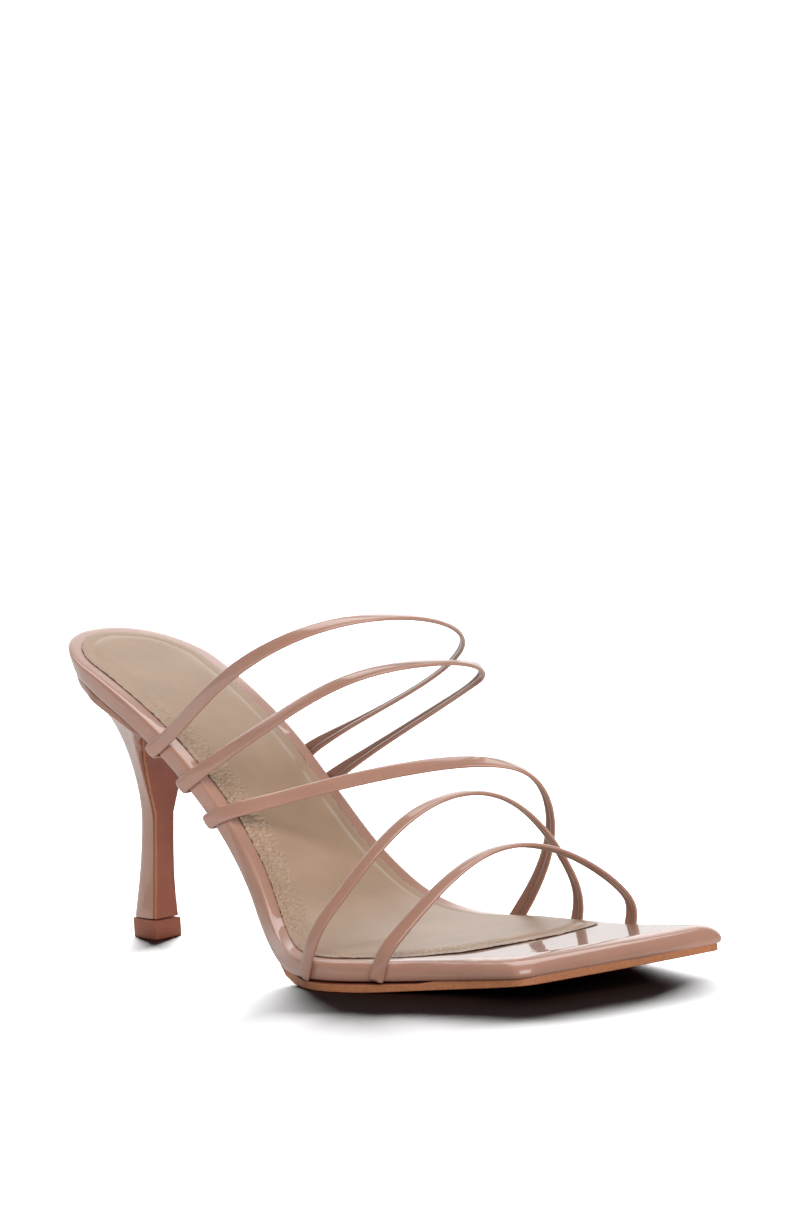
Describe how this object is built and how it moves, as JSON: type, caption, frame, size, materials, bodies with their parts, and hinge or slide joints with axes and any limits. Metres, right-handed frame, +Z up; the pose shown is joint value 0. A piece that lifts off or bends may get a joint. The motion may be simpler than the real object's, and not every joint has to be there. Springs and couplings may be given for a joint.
{
  "type": "strappy heeled mule sandal",
  "caption": "Square-toed mule sandal with thin straps over the foot, a padded sock and a slim flared heel.",
  "frame": {"origin": "on the ground under the middle of the shoe's bounding box", "axes": "+X along the foot towards the toe, +Y to the inner (big toe) side, +Z up"},
  "size_m": [0.2212, 0.0908, 0.1006],
  "materials": {
    "nude_patent": "glossy patent",
    "taupe_lining": "satin",
    "tan_sole_leather": "satin",
    "tan_heel_rubber": "matte"
  },
  "bodies": {
    "root": {"footbed": "nude_patent", "sock": "taupe_lining", "outsole": "tan_sole_leather", "heel": "nude_patent", "heel_tip": "tan_heel_rubber", "strap_rear": "nude_patent", "strap_instep": "nude_patent", "strap_diagonal": "nude_patent", "strap_ball": "nude_patent", "strap_toe": "nude_patent"}
  },
  "joints": []
}
